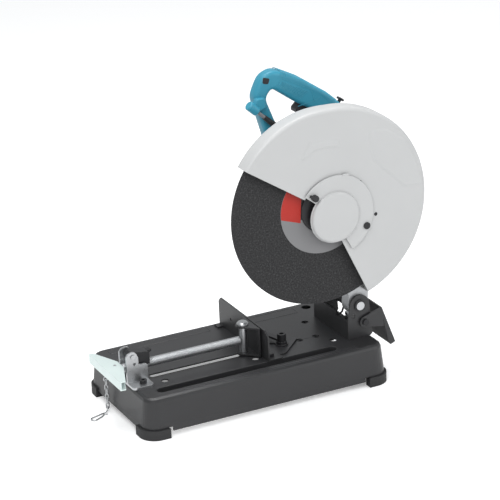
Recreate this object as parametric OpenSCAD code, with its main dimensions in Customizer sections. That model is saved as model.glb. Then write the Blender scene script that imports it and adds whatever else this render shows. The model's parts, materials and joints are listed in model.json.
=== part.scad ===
// Abrasive chop saw: pressed steel base with a chain-pinned vise, a swinging fence,
// and a spring-lifted head that carries a geared universal motor and a 355 mm cut-off wheel.
// Frame: +X towards the head pivot, -X towards the vise crank, -Y is the wheel side,
// +Y is the motor side, +Z up, origin on the floor under the middle of the base. Millimetres.

/* [Base] */
// Length of the base pan at its lower edge
base_l = 480; // [476:1:486]
// Width of the base pan at its lower edge
base_w = 262; // [260:1:268]
// Height of the base's working surface above the floor
top_z = 75; // [74.5:0.25:75.5]
// Height of the pan's lower edge above the floor
skirt_z = 11; // [9:0.5:12]
// Thickness of the pressed sheet
sheet_t = 2.5; // [2:0.25:2.5]
// Radius of the pan's vertical corners
corner_r = 27; // [24:1:30]
// Outward lean of the pan's sides, on each side
draft = 5; // [3:0.5:7]

/* [Wheel] */
// Diameter of the cut-off wheel
wheel_d = 355; // [340:1:356]
// Thickness of the cut-off wheel
wheel_t = 3; // [2.5:0.1:3]
// Diameter of the wheel's arbor hole
arbor_d = 25.4; // [25.4:0.1:25.4]
// Diameter of the two clamping flanges
flange_d = 86; // [80:1:88]
// Diameter of the printed paper label
label_d = 166; // [150:1:170]

/* [Head] */
// Height of the spindle axis with the head raised
spindle_z = 347; // [346:0.5:348]
// Distance of the spindle axis behind the middle of the base
spindle_x = 132; // [131:0.5:133]
// Distance of the head pivot behind the middle of the base
pivot_x = 211; // [210.5:0.5:211.5]
// Height of the head pivot
pivot_z = 138; // [137.5:0.5:138.5]

/* [Gears] */
// Tooth size of the reduction gears
gear_m = 1.5; // [1.5:0.1:1.5]
// Teeth on the armature pinion
pinion_teeth = 11; // [11:1:11]
// Teeth on the spindle gear
spindle_teeth = 52; // [52:1:52]

/* [Vise] */
// Distance of the closed jaw's face behind the middle of the base
jaw_face_x = 16.3; // [15:0.1:16.5]
// Outer radius of the vise screw
screw_r = 8.3; // [7.5:0.1:8.4]
// Length of the crank from end to end
crank_l = 140; // [120:1:144]

/* [Hidden] */
$fn = 64;
eps = 0.01;

// Colours
steel_black = "#2b2b2c";
teal = "#3f93ac";
pale_grey = "#c8c9c9";
zinc = "#b9bcbe";
raw_alu = "#a9abac";
black = "#1c1c1d";

// Positions shared by several pieces
wheel_y = -95.5;
slot_w = 19;
slot_x0 = -203;
slot_x1 = 151;
bench_y = -61;
bench_x = [-172, 6, 164];
bench_r = 6.5;
fence_holes = [[111, -30], [145, -30], [158, 38]];
fence_x = 19;
fence_t = 3;
fence_pivot = [31.5, -70];
fence_clamp = [72, -36];
vise_y = -30;
vise_z = 102;
jaw_pin_x = -2;
guide_w = 13;
guide_x0 = -188;
guide_x1 = 7;
nut_pin = [-224, 126];
crank_x = -272;
bracket_x0 = 186;
bracket_x1 = 236;
bracket_bolt_x = [199, 217];
bracket_y0 = -78;
bracket_y1 = 54;
spark_pivot = [220, 105];
guard_face_y = -113;
guard_back_y = -82;
cover_pivot = [209, 305];
cover_c = [149, 335];
knob_c = [107, 377];
eyelet = [-240, 27, 62];

// Gear geometry
cd = gear_m*(pinion_teeth + spindle_teeth)/2;
motor_dir = 44;
motor_x = spindle_x + cd*cos(motor_dir);
motor_z = spindle_z + cd*sin(motor_dir);

// ---------- helpers ----------

// Turns a shape drawn in X and Z so that it spans y0 to y1
module along_y(y0, y1) {
    translate([0, y1, 0])
        rotate([90, 0, 0])
            linear_extrude(y1 - y0)
                children();
}

// Round bar along Y
module bar_y(x, z, r, y0, y1) {
    translate([x, y1, z])
        rotate([90, 0, 0])
            cylinder(r = r, h = y1 - y0);
}

// Ring along Y
module ring_y(x, z, r_out, r_in, y0, y1) {
    difference() {
        bar_y(x, z, r_out, y0, y1);
        bar_y(x, z, r_in, y0 - 1, y1 + 1);
    }
}

// Round bar along X
module bar_x(x0, x1, y, z, r) {
    translate([x0, y, z])
        rotate([0, 90, 0])
            cylinder(r = r, h = x1 - x0);
}

// Rounded rectangle centred on the origin
module rrect(l, w, r) {
    square([l - 2*r, w], center = true);
    square([l, w - 2*r], center = true);
    for (sx = [-1, 1], sy = [-1, 1])
        translate([sx*(l/2 - r), sy*(w/2 - r)])
            circle(r = r);
}

// Slot outline along X between two end centres
module slot_x(x0, x1, w) {
    translate([x0, -w/2])
        square([x1 - x0, w]);
    for (x = [x0, x1])
        translate([x, 0])
            circle(d = w);
}

// Hexagonal head across flats af
module hex(af, h) {
    cylinder(r = af/2/cos(30), h = h, $fn = 6);
}

function turn(p, a) = [p[0]*cos(a) - p[1]*sin(a), p[0]*sin(a) + p[1]*cos(a)];
function roll_at(rb, r) = r <= rb ? 0 : sqrt(r*r/rb/rb - 1)*180/PI;
function inv_angle(rb, r) = roll_at(rb, r) - atan2(roll_at(rb, r)*PI/180, 1);

// One side of a tooth, from root to tip, on the side of positive angles when s is -1
function flank(rb, r0, r1, half, s) = [
    for (i = [0:4])
        let (r = r0 + (r1 - r0)*i/4)
        turn([r, 0], s*(half - inv_angle(rb, max(r, rb))))
];

// Spur gear outline with a tooth centred on the angle "first"
module gear_2d(teeth, thin, first) {
    pa = 25;
    rp = gear_m*teeth/2;
    rb = rp*cos(pa);
    ra = rp + 0.9*gear_m;
    rr = rp - 1.2*gear_m;
    half = 90/teeth - thin/rp*180/PI + inv_angle(rb, rp);
    pts = [
        for (k = [0:teeth - 1])
            let (a = first + 360*k/teeth)
            each concat(
                [for (p = flank(rb, rr, ra, half, -1)) turn(p, a)],
                [for (i = [4:-1:0]) turn(flank(rb, rr, ra, half, 1)[i], a)]
            )
    ];
    polygon(pts);
}

// ---------- base ----------

band_z = skirt_z + 11;
fold_r = 7;

module pan_slice(z, grow) {
    translate([0, 0, z])
        linear_extrude(eps)
            rrect(base_l + 2*grow, base_w + 2*grow, corner_r + grow, $fn = 32);
}

// Solid outer form of the pan, moved in by "inset" on every side and on top
module pan_form(inset) {
    top = top_z - inset;
    hull() {
        pan_slice(band_z, -inset);
        pan_slice(top - fold_r, -draft - inset);
        pan_slice(top - fold_r*0.35, -draft - 2 - inset);
        pan_slice(top - eps, -draft - fold_r - inset);
    }
}

module pan_skirt(inset) {
    translate([0, 0, skirt_z - (inset > 0 ? 1 : 0)])
        linear_extrude(band_z - skirt_z + eps + (inset > 0 ? 1 : 0))
            rrect(base_l - 2*inset, base_w - 2*inset, corner_r - inset);
}

module base_holes() {
    for (x = bench_x)
        translate([x, bench_y, skirt_z])
            cylinder(r = bench_r, h = top_z);
    for (p = fence_holes)
        translate([p[0], p[1], top_z - 8])
            cylinder(r = bench_r, h = 20);
    translate([193, 100, top_z - 8])
        cylinder(r = 9, h = 20);
    translate([0, wheel_y, top_z - 8])
        linear_extrude(20)
            slot_x(slot_x0 + slot_w/2, slot_x1 - slot_w/2, slot_w);
    translate([0, vise_y, top_z - 8])
        linear_extrude(20)
            slot_x(guide_x0 + guide_w/2, guide_x1 - guide_w/2, guide_w);
    for (p = [fence_pivot, fence_clamp])
        translate([p[0], p[1], top_z - 8])
            cylinder(r = 4.1, h = 20);
    for (y = [-58, 0])
        translate([-212, y, top_z - 8])
            cylinder(r = 4.1, h = 20);
    for (x = bracket_bolt_x, y = [-60, 36])
        translate([x, y, top_z - 8])
            cylinder(r = 4.1, h = 20);
    // notches in the lower edge beside the feet
    for (x = [-202, 191], sy = [-1, 1])
        translate([x, sy*base_w/2 - 6, skirt_z - 2])
            cube([11, 12, 10]);
}

// Weld nut under the sheet
module weld_nut(p) {
    translate([p[0], p[1], top_z - sheet_t - 8])
        difference() {
            cylinder(r = 9.5, h = 8 + eps);
            translate([0, 0, -1])
                cylinder(r = 4.1, h = 20);
        }
}

module base_pan() {
    color(steel_black) {
        difference() {
            union() {
                pan_form(0);
                pan_skirt(0);
            }
            pan_form(sheet_t);
            pan_skirt(sheet_t);
            base_holes();
        }
        for (p = fence_holes)
            weld_nut(p);
        // edge of the wheel slot, turned down
        translate([0, wheel_y, top_z - sheet_t - 8])
            linear_extrude(8 + eps)
                difference() {
                    slot_x(slot_x0 + slot_w/2, slot_x1 - slot_w/2, slot_w + 3.6);
                    slot_x(slot_x0 + slot_w/2, slot_x1 - slot_w/2, slot_w);
                }
    }
}

foot_leg = 47;
foot_out = 4.5;
foot_in = 11;
foot_h = 18;

module foot() {
    difference() {
        linear_extrude(foot_h)
            intersection() {
                difference() {
                    rrect(base_l + 2*foot_out, base_w + 2*foot_out, corner_r + foot_out);
                    rrect(base_l - 2*foot_in, base_w - 2*foot_in, corner_r - foot_in);
                }
                translate([-base_l/2 - foot_out, -base_w/2 - foot_out])
                    square([foot_leg, foot_leg]);
            }
        difference() {
            pan_skirt(0);
            pan_skirt(sheet_t);
        }
        // groove widened to slip over the sheet's edge
        translate([0, 0, skirt_z])
            linear_extrude(foot_h)
                difference() {
                    rrect(base_l + 0.1, base_w + 0.1, corner_r);
                    rrect(base_l - 2*sheet_t - 0.1, base_w - 2*sheet_t - 0.1, corner_r - sheet_t);
                }
    }
}

module base_feet() {
    color(black)
        for (mx = [0, 1], my = [0, 1])
            mirror([mx, 0, 0])
                mirror([0, my, 0])
                    foot();
}

// ---------- fence ----------

fence_y0 = -88;
fence_y1 = 113;
fence_top = 131;
flange_t = 3;
slot_r = norm(fence_clamp - fence_pivot);
slot_a = atan2(fence_clamp[1] - fence_pivot[1], fence_clamp[0] - fence_pivot[0]);

module fence_outline() {
    polygon([[fence_y0, top_z], [fence_y1, top_z], [fence_y1, fence_top - 8], [fence_y1 - 8, fence_top],
             [fence_y0 + 14, fence_top], [fence_y0, fence_top - 9]]);
}

// Foot plate of the fence, trimmed so that it never reaches the wheel when it swings
module fence_foot_2d() {
    intersection() {
        union() {
            translate([fence_x, fence_y0])
                square([30, 24]);
            translate([fence_x, -72])
                square([fence_clamp[0] - fence_x, 72]);
            translate(fence_clamp)
                circle(r = 36);
            translate([fence_x, 0])
                square([20, fence_y1]);
        }
        polygon([[fence_x, fence_y0], [134 + fence_y0, fence_y0], [134, 0], [134, fence_y1],
                 [fence_x, fence_y1]]);
    }
    translate([fence_x - 11, 97])
        square([11 + eps, 16]);
}

module fence() {
    color(steel_black) {
        difference() {
            union() {
                translate([fence_x, 0, 0])
                    rotate([90, 0, 90])
                        linear_extrude(fence_t)
                            fence_outline();
                translate([0, 0, top_z])
                    linear_extrude(flange_t)
                        fence_foot_2d();
            }
            translate([fence_x - 5, 64, 102])
                rotate([0, 90, 0])
                    cylinder(r = 3, h = 20);
            translate([fence_pivot[0], fence_pivot[1], top_z - 5])
                cylinder(r = 4.05, h = 20);
            // arc slot for the clamp bolt, centred on the pivot
            translate([fence_pivot[0], fence_pivot[1], top_z - 5])
                linear_extrude(20)
                    polygon(concat(
                        [for (a = [slot_a - 7:5:slot_a + 53]) (slot_r + 4.6)*[cos(a), sin(a)]],
                        [for (a = [slot_a + 53:-5:slot_a - 7]) (slot_r - 4.6)*[cos(a), sin(a)]]
                    ));
        }
        // gussets between the upright plate and the foot
        for (y = [18, 88])
            along_y(y, y + 3)
                polygon([[fence_x + fence_t - eps, top_z + flange_t - eps],
                         [fence_x + 19, top_z + flange_t - eps],
                         [fence_x + fence_t - eps, top_z + 34]]);
    }
}

module socket_bolt(r_head, h_head, r_shank, h_shank, r_key) {
    difference() {
        union() {
            cylinder(r = r_head, h = h_head);
            translate([0, 0, -h_shank])
                cylinder(r = r_shank, h = h_shank + eps);
        }
        translate([0, 0, h_head*0.45])
            cylinder(r = r_key, h = h_head, $fn = 6);
    }
}

module fence_bolts() {
    color(black) {
        translate([fence_clamp[0], fence_clamp[1], top_z + flange_t + 0.1]) {
            translate([0, 0, 11.2])
                socket_bolt(8.2, 10, 4, 29, 4.6);
            difference() {
                cylinder(r = 11.5, h = 2);
                translate([0, 0, -1])
                    cylinder(r = 4.05, h = 10);
            }
            translate([0, 0, 2])
                difference() {
                    cylinder(r = 9.6, h = 5);
                    translate([0, 0, -1])
                        cylinder(r = 4.05, h = 10);
                }
        }
        translate([fence_pivot[0], fence_pivot[1], top_z + flange_t + 0.1])
            hex(13, 5.5);
        translate([fence_pivot[0], fence_pivot[1], top_z - 12])
            cylinder(r = 4, h = 12 + flange_t + 0.2);
        // bar clamped under the bolt head, reaching to the fence's far gusset
        translate([0, 0, top_z + flange_t + 7.2])
            difference() {
                linear_extrude(4)
                    union() {
                        translate(fence_clamp)
                            circle(r = 8);
                        polygon([[fence_clamp[0] - 7, fence_clamp[1]], [fence_clamp[0] + 7, fence_clamp[1]],
                                 [58, 26], [46, 26]]);
                        translate([52, 26])
                            circle(r = 6);
                    }
                translate([fence_clamp[0], fence_clamp[1], -1])
                    cylinder(r = 4.05, h = 10);
            }
    }
}

// ---------- vise ----------

plate_near_y = -47;
plate_far_y = -17;
plate_t = 4;

// Side plate of the vise bracket with its pin lobe
module vise_plate_2d() {
    difference() {
        union() {
            polygon([[-237, top_z], [-197, top_z], [-197, 106], [-201, 110], [-214, 110], [-214, 124],
                     [-237, 124]]);
            translate([nut_pin[0] - 1, nut_pin[1]])
                circle(r = 9);
            polygon([[-237, 118], [-237, 128], [-233, 133], [-224, 135], [-215, 126], [-214, 118]]);
        }
        translate(nut_pin)
            circle(r = 3.05);
        translate([-222, 112])
            circle(r = 2.6);
    }
}

module vise_bracket() {
    color(zinc)
        difference() {
            union() {
                for (y = [plate_near_y, plate_far_y])
                    along_y(y, y + plate_t)
                        vise_plate_2d();
                // foot with rounded ends
                translate([0, 0, top_z])
                    linear_extrude(4)
                        union() {
                            translate([-237, -66])
                                square([40, 74]);
                            translate([-229, -74])
                                square([24, 90]);
                            for (x = [-229, -205], y = [-66, 8])
                                translate([x, y])
                                    circle(r = 8);
                        }
                // cradle under the screw
                translate([-214, plate_near_y + plate_t - eps, top_z])
                    cube([17, plate_far_y - plate_near_y - plate_t + 2*eps, vise_z - top_z - 2]);
            }
            bar_x(-250, -180, vise_y, vise_z, screw_r + 0.4);
            for (y = [-58, 0])
                translate([-212, y, top_z - 5])
                    cylinder(r = 4.1, h = 20);
        }
}

module vise_bracket_bolts() {
    color(black)
        for (y = [-58, 0])
            translate([-212, y, top_z + 4])
                socket_bolt(6.5, 6, 4, 18, 3.4);
}

module vise_nut() {
    color(black)
        difference() {
            union() {
                along_y(-41, -19)
                    polygon([[-212, 104], [-190, 104], [-190, 124], [-193, 128], [-224, 132.5], [-230, 128],
                             [-230, 121], [-212, 115]]);
                // lifting tab
                along_y(-36, -24)
                    polygon([[-190 - eps, 121], [-184, 126], [-184, 129], [-193, 128]]);
            }
            bar_x(-240, -170, vise_y, vise_z, screw_r + 0.4);
            bar_y(nut_pin[0], nut_pin[1], 3.35, -60, 0);
        }
}

module vise_nut_pin() {
    color(zinc) {
        bar_y(nut_pin[0], nut_pin[1], 3, plate_near_y - 1, plate_far_y + plate_t + 1);
        bar_y(nut_pin[0], nut_pin[1], 4.6, plate_near_y - 2.5, plate_near_y - 0.5);
    }
}

jaw_y0 = -64;
jaw_y1 = 4;
jaw_t = 3.3;
jaw_z0 = 76.5;
jaw_z1 = 131.5;

module jaw_arm_2d() {
    difference() {
        union() {
            translate([jaw_pin_x, vise_y])
                circle(r = 13);
            polygon([[jaw_pin_x - 4, vise_y + 12.3], [jaw_face_x - 1, vise_y + 30],
                     [jaw_face_x - 1, vise_y - 32], [jaw_pin_x - 4, vise_y - 12.3]]);
        }
        translate([jaw_pin_x, vise_y])
            circle(r = 5.05);
    }
}

module vise_jaw() {
    color(black)
        union() {
            translate([jaw_face_x - jaw_t, jaw_y0, jaw_z0])
                cube([jaw_t, jaw_y1 - jaw_y0, jaw_z1 - jaw_z0]);
            for (z = [jaw_z0, jaw_z1 - 3])
                translate([0, 0, z])
                    linear_extrude(3)
                        jaw_arm_2d();
        }
}

module vise_jaw_pin() {
    color(zinc)
        difference() {
            translate([jaw_pin_x, vise_y, 0])
                rotate_extrude()
                    polygon([[0, 62], [10, 62], [10, 69], [5, 69], [5, jaw_z0 + 3.2], [7, jaw_z0 + 3.2],
                             [7, jaw_z1 - 3.2], [5, jaw_z1 - 3.2], [5, jaw_z1 + 0.2], [10.5, jaw_z1 + 0.2],
                             [10.5, jaw_z1 + 3], [8, jaw_z1 + 6], [0, jaw_z1 + 6.5]]);
            bar_x(-30, 0.5, vise_y, vise_z, 4.05);
        }
}

module vise_screw() {
    color(zinc)
        difference() {
            union() {
                bar_x(-240.5, jaw_pin_x - 7.4, vise_y, vise_z, screw_r);
                bar_x(-262, -240, vise_y, vise_z, 6.3);
                bar_x(jaw_pin_x - 8, -0.2, vise_y, vise_z, 4);
            }
            translate([-252, vise_y, vise_z - 10])
                cylinder(r = 2.5, h = 20);
        }
}

crank_h = 17;
crank_t = 2;

// Top or bottom flange of the crank channel, widest at the hub
module crank_flange_2d() {
    difference() {
        polygon([[crank_x, vise_y - crank_l/2], [crank_x + 10, vise_y - crank_l/2],
                 [-245, vise_y - 24], [-241, vise_y - 14], [-241, vise_y + 14], [-245, vise_y + 24],
                 [crank_x + 10, vise_y + crank_l/2 - 5], [crank_x + 5, vise_y + crank_l/2],
                 [crank_x, vise_y + crank_l/2]]);
        translate([-252, vise_y])
            circle(r = 2.5);
    }
}

module crank() {
    color("#dfeeea") {
        for (z = [vise_z - crank_h/2, vise_z + crank_h/2 - crank_t])
            translate([0, 0, z])
                linear_extrude(crank_t)
                    crank_flange_2d();
        translate([crank_x, vise_y - crank_l/2, vise_z - crank_h/2])
            cube([crank_t, crank_l, crank_h]);
    }
}

module crank_pin() {
    color(zinc)
        translate([-252, vise_y, vise_z - crank_h/2 - 0.8])
            cylinder(r = 2.45, h = crank_h + 1.6);
}

// ---------- chain ----------

wire_r = 1.1;
link_n = 6;
link_pitch = 9;
link_h = 11.2;
link_w = 5.6;
clip_r = 1.3;
clip_z = 1.5;
chain_x = eyelet[0] - 8;
chain_top = eyelet[2] - 1.6;

// Oval wire link standing along Z
module wire_link(h, w, r) {
    for (s = [-1, 1]) {
        translate([s*w/2, 0, w/2])
            cylinder(r = r, h = h - w, $fn = 16);
        translate([0, 0, s > 0 ? h - w/2 : w/2])
            rotate([90, s > 0 ? 0 : 180, 0])
                rotate_extrude(angle = 180, $fn = 24)
                    translate([w/2, 0])
                        circle(r = r, $fn = 12);
    }
}

module chain_eyelet() {
    color(zinc) {
        translate([eyelet[0] - 1, eyelet[1], eyelet[2]])
            rotate([0, 90, 0])
                cylinder(r = 4.5, h = 1.5);
        translate([chain_x, eyelet[1], eyelet[2]])
            rotate([90, 0, 0])
                rotate_extrude($fn = 32)
                    translate([4, 0])
                        circle(r = 1.2, $fn = 16);
        bar_x(chain_x + 3.6, eyelet[0] + 1, eyelet[1], eyelet[2], 1.8);
    }
}

module chain_links() {
    color(zinc)
        for (i = [0:link_n - 1])
            translate([chain_x, eyelet[1], chain_top - link_h - i*link_pitch])
                rotate([0, 0, i % 2 == 0 ? 90 : 0])
                    wire_link(link_h, link_w, wire_r);
}

// Points along an arc of wire lying flat, turning counter-clockwise
function arc_points(c, rad, from, sweep) = [
    for (t = [0:20:sweep])
        [c[0] + rad*cos(from + t), c[1] + rad*sin(from + t), clip_z]
];

// Hairpin clip of bent wire: one end threads the last link, the rest lies flat
module lock_clip() {
    color(zinc)
        swept(concat(
            [[chain_x, eyelet[1] + 6, 7], [chain_x, eyelet[1] - 3, 7], [chain_x - 2, eyelet[1] - 6, 6],
             [-255, 19, 2.6], [-260, 18, clip_z]],
            arc_points([-284, 4], 6, 115, 180),
            [[-268, 6, clip_z], [-262, 12, clip_z], [-256, 11, clip_z]]
        ), clip_r, [0.05, 0.08, 1]);
}

// ---------- head pivot ----------

ear_t = 3;

module ear_2d() {
    difference() {
        union() {
            polygon([[bracket_x0, top_z], [bracket_x1 - 4, top_z], [bracket_x1, top_z + 4],
                     [pivot_x + 20, pivot_z], [pivot_x - 20, pivot_z], [bracket_x0, 111]]);
            translate([pivot_x, pivot_z])
                circle(r = 20);
        }
        translate([pivot_x, pivot_z])
            circle(r = 8.05);
        translate([198, 119])
            circle(r = 3.5);
        translate(spark_pivot)
            circle(r = 3.05);
    }
}

module pivot_bracket() {
    color(steel_black)
        difference() {
            union() {
                along_y(bracket_y0, bracket_y0 + ear_t)
                    ear_2d();
                along_y(bracket_y1 - ear_t, bracket_y1)
                    ear_2d();
                translate([bracket_x0, bracket_y0, top_z])
                    cube([3, bracket_y1 - bracket_y0, 111 - top_z]);
                translate([bracket_x0, -33, 111 - eps])
                    cube([3, bracket_y1 + 33, 5]);
                translate([bracket_x0, bracket_y0, top_z])
                    cube([bracket_x1 - bracket_x0 - 4, bracket_y1 - bracket_y0, 3]);
                // rest for the depth stop
                translate([bracket_x1 - 26, -30, top_z + 3 - eps])
                    cube([14, 20, 14]);
            }
            for (x = bracket_bolt_x, y = [-60, 36])
                translate([x, y, top_z - 5])
                    cylinder(r = 4.1, h = 20);
            translate([217, -20, top_z - 5])
                cylinder(r = 3.05, h = 40);
        }
}

module pivot_bracket_bolts() {
    color(zinc)
        for (x = bracket_bolt_x, y = [-60, 36])
            translate([x, y, 0]) {
                translate([0, 0, top_z + 3])
                    hex(13, 5.5);
                translate([0, 0, top_z - 12])
                    cylinder(r = 4, h = 16);
                translate([0, 0, top_z - sheet_t - 6.5])
                    difference() {
                        hex(13, 6.5);
                        translate([0, 0, -1])
                            cylinder(r = 4.0, h = 10);
                    }
            }
}

module pivot_shaft() {
    color(zinc)
        bar_y(pivot_x, pivot_z, 8, bracket_y0 - 4, bracket_y1 + 4);
}

module pivot_rings() {
    color(black) {
        ring_y(pivot_x, pivot_z, 11, 8.02, bracket_y0 - 2.2, bracket_y0 - 0.5);
        ring_y(pivot_x, pivot_z, 11, 8.02, bracket_y1 + 0.5, bracket_y1 + 2.2);
    }
}

spring_wire = 1.9;
spring_r = 13.5;
spring_turns = 9;
spring_pitch = 4.6;

function coil_point(t) =
    [pivot_x + spring_r*cos(t), -42 + spring_pitch*(t - 180)/360, pivot_z - spring_r*sin(t)];
function unit(v) = v/norm(v);

// Tube of 8 sides swept along a list of points; ref is any direction the path never follows
module swept(pts, r, ref = [0.13, 0.97, 0.21]) {
    n = len(pts);
    dirs = [for (i = [0:n - 1]) unit(pts[min(i + 1, n - 1)] - pts[max(i - 1, 0)])];
    rings = [
        for (i = [0:n - 1])
            let (side = unit(cross(dirs[i], ref)), up = cross(dirs[i], side))
            for (k = [0:7])
                pts[i] + r*(cos(45*k)*side + sin(45*k)*up)
    ];
    faces = concat(
        [[for (k = [7:-1:0]) k]],
        [[for (k = [0:7]) 8*(n - 1) + k]],
        [
            for (i = [0:n - 2], k = [0:7])
                [8*i + k, 8*i + (k + 1) % 8, 8*(i + 1) + (k + 1) % 8, 8*(i + 1) + k]
        ]
    );
    polyhedron(points = rings, faces = faces);
}

module return_spring() {
    color(black)
        swept(concat(
            [[179, -42, 113.4], [188, -42, 113.4], [194, -42, 117], [197.2, -42, 126]],
            [for (t = [180:20:180 + 360*spring_turns]) coil_point(t)],
            [[197.5, -0.3, 148], [197.5, -0.2, 156]]
        ), spring_wire);
}

module depth_stop() {
    color(zinc)
        translate([217, -20, top_z + 17]) {
            translate([0, 0, -12])
                cylinder(r = 3, h = 20);
            translate([0, 0, 8])
                hex(10, 4);
            translate([0, 0, 0.1])
                difference() {
                    hex(10, 4.5);
                    translate([0, 0, -1])
                        cylinder(r = 3.01, h = 10);
                }
        }
}

// ---------- spark guard ----------

spark_top = [251, 127];
spark_low = [268, 52];

module spark_ear_2d() {
    difference() {
        union() {
            translate(spark_pivot)
                circle(r = 11);
            polygon([[spark_pivot[0] - 2, 116], [spark_top[0] + 2, spark_top[1]], [spark_low[0] - 10, 88],
                     [240, 92], [spark_pivot[0] - 2, 94]]);
        }
        translate(spark_pivot)
            circle(r = 3.06);
    }
}

module spark_guard() {
    y0 = bracket_y0 - 4.5;
    y1 = bracket_y1 + 4.5;
    color(steel_black) {
        along_y(y0, y0 + 2)
            spark_ear_2d();
        along_y(y1 - 2, y1)
            spark_ear_2d();
        along_y(y0, y1)
            polygon([spark_top, spark_top + [2.2, 0.5], spark_low + [2.2, 0.5], spark_low]);
        for (y = [y0, y1 - 2])
            along_y(y, y + 2)
                polygon([spark_top, spark_top + [3, 0], spark_low + [13, 1], spark_low + [3, -3], spark_low]);
    }
}

module spark_guard_screws() {
    color(black)
        for (s = [-1, 1])
            translate([spark_pivot[0], s < 0 ? bracket_y0 : bracket_y1, spark_pivot[1]])
                rotate([s < 0 ? 90 : -90, 0, 0]) {
                    translate([0, 0, -8])
                        cylinder(r = 3, h = 14);
                    translate([0, 0, 4.7])
                        cylinder(r = 6, h = 3.5);
                    translate([0, 0, -8])
                        hex(10, 4.9);
                }
}

// ---------- head castings ----------

// The lock pin enters one of twelve holes in the spindle gear
lock_pcr = 26;
lock_x = spindle_x - lock_pcr*cos(motor_dir);
lock_z = spindle_z - lock_pcr*sin(motor_dir);

gear_y0 = -80;
gear_y1 = -34;
hub_r = 21;

module case_2d(grow) {
    translate([spindle_x, spindle_z])
        circle(r = 49 + grow);
    translate([motor_x, motor_z])
        circle(r = 40 + grow);
}

module near_arm_2d() {
    difference() {
        union() {
            translate([pivot_x, pivot_z])
                circle(r = hub_r);
            polygon([[190, 140], [192, 160], [152, 246], [96, 318], [118, 352], [170, 345], [184, 262],
                     [214, 184], [223, 172], [232, 160], [231, 142]]);
        }
        translate([pivot_x, pivot_z])
            circle(r = 8.05);
    }
}

module far_hub_2d() {
    difference() {
        union() {
            translate([pivot_x, pivot_z])
                circle(r = hub_r);
            polygon([[190, 140], [190, 186], [223, 186], [232, 160], [231, 142]]);
        }
        translate([pivot_x, pivot_z])
            circle(r = 8.05);
    }
}

module swing_arm() {
    color(raw_alu)
        difference() {
            union() {
                along_y(gear_y0, gear_y1)
                    case_2d(0);
                along_y(-72.5, -49)
                    near_arm_2d();
                along_y(24, 46)
                    far_hub_2d();
                // bridge above the return spring
                translate([190, -50, 163])
                    cube([32, 75, 23]);
            }
            // gear chamber, bearing seat and spindle opening
            bar_y(spindle_x, spindle_z, 43, -62, gear_y1 + 1);
            bar_y(motor_x, motor_z, 34, -62, gear_y1 + 1);
            bar_y(spindle_x, spindle_z, 20, -76, -61);
            bar_y(spindle_x, spindle_z, 15, gear_y0 - 1, -75);
        }
}

module gear_housing_cover() {
    color(raw_alu)
        difference() {
            union() {
                along_y(gear_y1, -28)
                    case_2d(0);
                bar_y(spindle_x, spindle_z, 19, -43, gear_y1 + eps);
                bar_y(motor_x, motor_z, 20, -41, gear_y1 + eps);
            }
            bar_y(spindle_x, spindle_z, 15, -44, -32);
            bar_y(motor_x, motor_z, 16, -42, -30);
            bar_y(motor_x, motor_z, 8, -44, -20);
            bar_y(lock_x, lock_z, 3.45, -44, -20);
        }
}

// ---------- motor ----------

motor_r = 45;
motor_y1 = 92;

module motor_housing() {
    color(teal)
        difference() {
            bar_y(motor_x, motor_z, motor_r, -28, motor_y1);
            bar_y(motor_x, motor_z, motor_r - 3, -29, 60);
            bar_y(motor_x, motor_z, 30, 50, motor_y1 + 1);
            // brush holders
            for (s = [-1, 1])
                translate([motor_x, 68, motor_z])
                    rotate([0, 45 + (s > 0 ? 0 : 180), 0])
                        translate([0, 0, 10])
                            cylinder(r = 7.05, h = 50);
        }
}

module motor_end_cap() {
    color(teal)
        difference() {
            union() {
                bar_y(motor_x, motor_z, motor_r, motor_y1, 98);
                translate([motor_x, 98 - eps, motor_z])
                    rotate([-90, 0, 0])
                        rotate_extrude()
                            polygon([[0, 0], [motor_r, 0], [motor_r - 2, 6], [motor_r - 9, 12], [0, 14]]);
            }
            bar_y(motor_x, motor_z, 11, motor_y1 - 1, 102);
            for (k = [0:11])
                translate([motor_x, motor_y1 - 1, motor_z])
                    rotate([0, 30*k, 0])
                        translate([24, 0, -2])
                            cube([11, 30, 4]);
        }
}

handle_y0 = -25;
handle_mid = -6;
handle_y1 = 13;
leg_y1 = -1;
leg_x = 82;

// Side view of the closed handle with its finger opening
module handle_2d() {
    difference() {
        polygon([[50, 562], [60, 578], [68, 585], [78, 588], [92, 586], [138, 564], [187, 530], [214, 506],
                 [236, 482], [244, 462], [240, 444], [224, 428], [214, 400], [118, 400], [104, 426],
                 [72, 440], [64, 470], [43, 544]]);
        polygon([[82, 552], [72, 546], [68, 536], [84, 494], [104, 470], [150, 466], [186, 474], [174, 494],
                 [128, 521], [92, 552]]);
    }
}

grip_screws = [[71, 571], [226, 455], [112, 448]];

module handle_cuts() {
    bar_y(motor_x, motor_z, motor_r + 0.05, -60, 60);
    // pocket for the switch and the trigger
    along_y(-17, 5)
        polygon([[134, 510], [177, 482], [190, 485], [196, 492], [196, 508], [150, 540], [134, 540]]);
    translate(lock_c)
        rotate([0, 35, 0])
            translate([0, 0, -24])
                cylinder(r = 5.3, h = 60);
    for (p = grip_screws) {
        bar_y(p[0], p[1], 2.05, handle_y0 - 1, handle_y1 - 2);
        bar_y(p[0], p[1], 4.6, handle_y0 - 1, handle_y0 + 8);
    }
}

// Direction of the lead where it crosses from the housing to the ring
lead_tilt = 132.6;
ring_c = [44, -32, 523];
ring_len = 22;
boot_len = 66;

// Places a shape drawn along +Z on the lead's axis, starting at the ring
module on_lead() {
    translate(ring_c)
        rotate([0, lead_tilt, 0])
            children();
}

trigger_pivot = [176, 493];

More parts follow.
